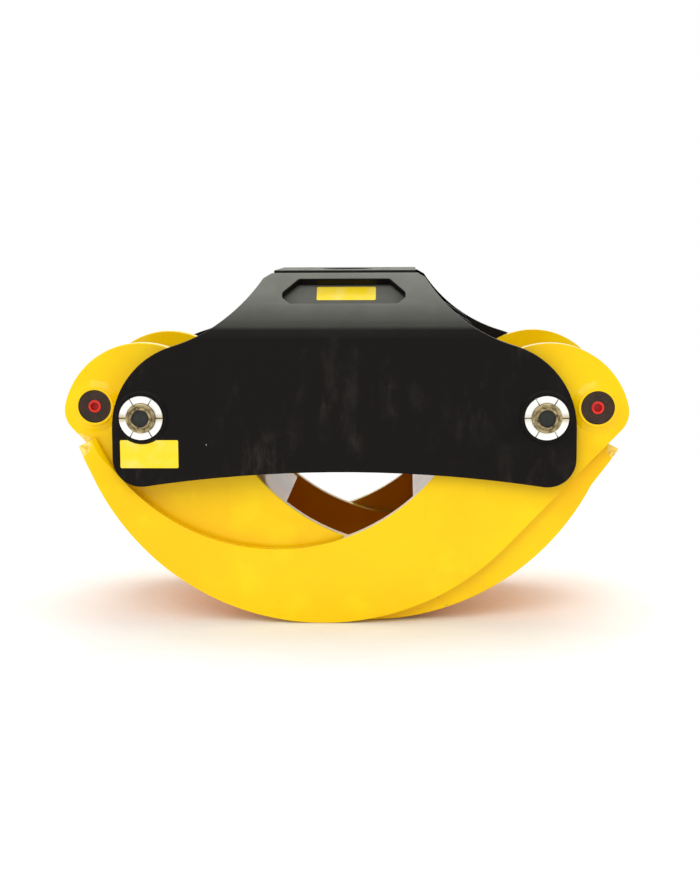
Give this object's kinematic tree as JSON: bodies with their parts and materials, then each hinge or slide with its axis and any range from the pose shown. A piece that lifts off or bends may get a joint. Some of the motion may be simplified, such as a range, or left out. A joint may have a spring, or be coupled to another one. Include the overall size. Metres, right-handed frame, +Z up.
{
  "type": "log grapple",
  "caption": "Hydraulic log grapple: two curved claws crossing under a black bent-plate frame, closed by one horizontal cylinder and kept in step by a link.",
  "frame": {"origin": "centre of the rotator plate's top face", "axes": "+Z up to the crane, X across the claws, -Y the front with the wide claw's hinge to the right"},
  "size_m": [0.8484, 0.413, 0.5317],
  "materials": {
    "frame_paint": "satin black paint with dust and fine scratches",
    "claw_paint": "glossy yellow paint, worn at the tips",
    "zinc": "bright zinc plated, slit sleeves and nuts",
    "pin_steel": "dark phosphated steel",
    "bronze": "bronze bushes",
    "plug_red": "red plastic",
    "cylinder_paint": "gloss black paint",
    "rod_chrome": "hard chrome",
    "steel": "machined steel",
    "seal": "black polyurethane"
  },
  "bodies": {
    "frame": {"frame_front_plate": "frame_paint", "frame_rear_plate": "frame_paint", "rotator_plate": "frame_paint", "slot_tray_rear": "frame_paint", "slot_tray_front": "frame_paint", "inner_cheek_rear": "frame_paint", "inner_cheek_front": "frame_paint", "web_right_rear": "frame_paint", "web_right_front": "frame_paint", "web_left_rear": "frame_paint", "web_left_front": "frame_paint", "pivot_pin_right_rear": "pin_steel", "pivot_pin_right_front": "pin_steel", "pivot_pin_left_rear": "pin_steel", "pivot_pin_left_front": "pin_steel", "outer_expansion_sleeves": "zinc", "inner_expansion_sleeves": "zinc", "outer_pin_nuts": "zinc", "inner_pin_nuts": "zinc", "pivot_weld_rings": "frame_paint"},
    "left_claw": {"left_claw_rear_plate": "claw_paint", "left_claw_front_plate": "claw_paint", "left_claw_rear_rib": "claw_paint", "left_claw_front_rib": "claw_paint", "left_claw_hubs": "claw_paint", "left_pivot_bushes": "bronze", "left_pin_collars": "claw_paint", "left_cylinder_pin": "pin_steel", "left_pin_plugs": "plug_red", "left_claw_lining": "claw_paint", "left_claw_shell": "claw_paint", "left_claw_blade": "claw_paint", "link_pin_left": "pin_steel"},
    "right_claw": {"right_claw_rear_plate": "claw_paint", "right_claw_front_plate": "claw_paint", "right_claw_rear_rib": "claw_paint", "right_claw_front_rib": "claw_paint", "right_claw_hubs": "claw_paint", "right_pivot_bushes": "bronze", "right_pin_collars": "claw_paint", "right_cylinder_pin": "pin_steel", "right_pin_plugs": "plug_red", "right_claw_lining": "claw_paint", "right_claw_back_plate": "claw_paint", "link_pin_right": "pin_steel"},
    "barrel": {"cylinder_barrel": "cylinder_paint", "cylinder_base_eye": "cylinder_paint", "base_eye_bush": "bronze", "port_bosses": "cylinder_paint", "cylinder_gland": "cylinder_paint", "rod_wiper": "seal"},
    "rod": {"piston": "steel", "piston_seal": "seal", "piston_nut": "steel", "piston_rod": "rod_chrome", "rod_eye": "cylinder_paint", "rod_eye_bush": "bronze"},
    "link": {"sync_link": "frame_paint"}
  },
  "joints": [
    {"name": "left_claw_hinge", "type": "hinge", "parent": "frame", "child": "left_claw", "pos_m": [-0.3, 0, -0.215], "axis": [0, 1, 0], "range_deg": [0, 120]},
    {"name": "right_claw_hinge", "type": "hinge", "parent": "frame", "child": "right_claw", "pos_m": [0.3, 0, -0.215], "axis": [0, -1, 0], "range_deg": [0, 120]},
    {"name": "barrel_pivot", "type": "hinge", "parent": "left_claw", "child": "barrel", "pos_m": [-0.37693, 0, -0.20213], "axis": [0, -1, 0], "range_deg": [0, 120]},
    {"name": "rod_pivot", "type": "hinge", "parent": "right_claw", "child": "rod", "pos_m": [0.37693, 0, -0.20213], "axis": [0, 1, 0], "range_deg": [0, 120]},
    {"name": "link_pivot", "type": "hinge", "parent": "left_claw", "child": "link", "pos_m": [-0.2875, 0.071, -0.19335], "axis": [0, -1, 0], "range_deg": [0, 128.27]}
  ],
  "couplings": [
    {"joint": "right_claw_hinge", "follows": "left_claw_hinge", "ratio": 1},
    {"joint": "barrel_pivot", "follows": "left_claw_hinge", "ratio": 1},
    {"joint": "rod_pivot", "follows": "left_claw_hinge", "ratio": 1},
    {"joint": "link_pivot", "follows": "left_claw_hinge", "ratio": 1.0688}
  ]
}
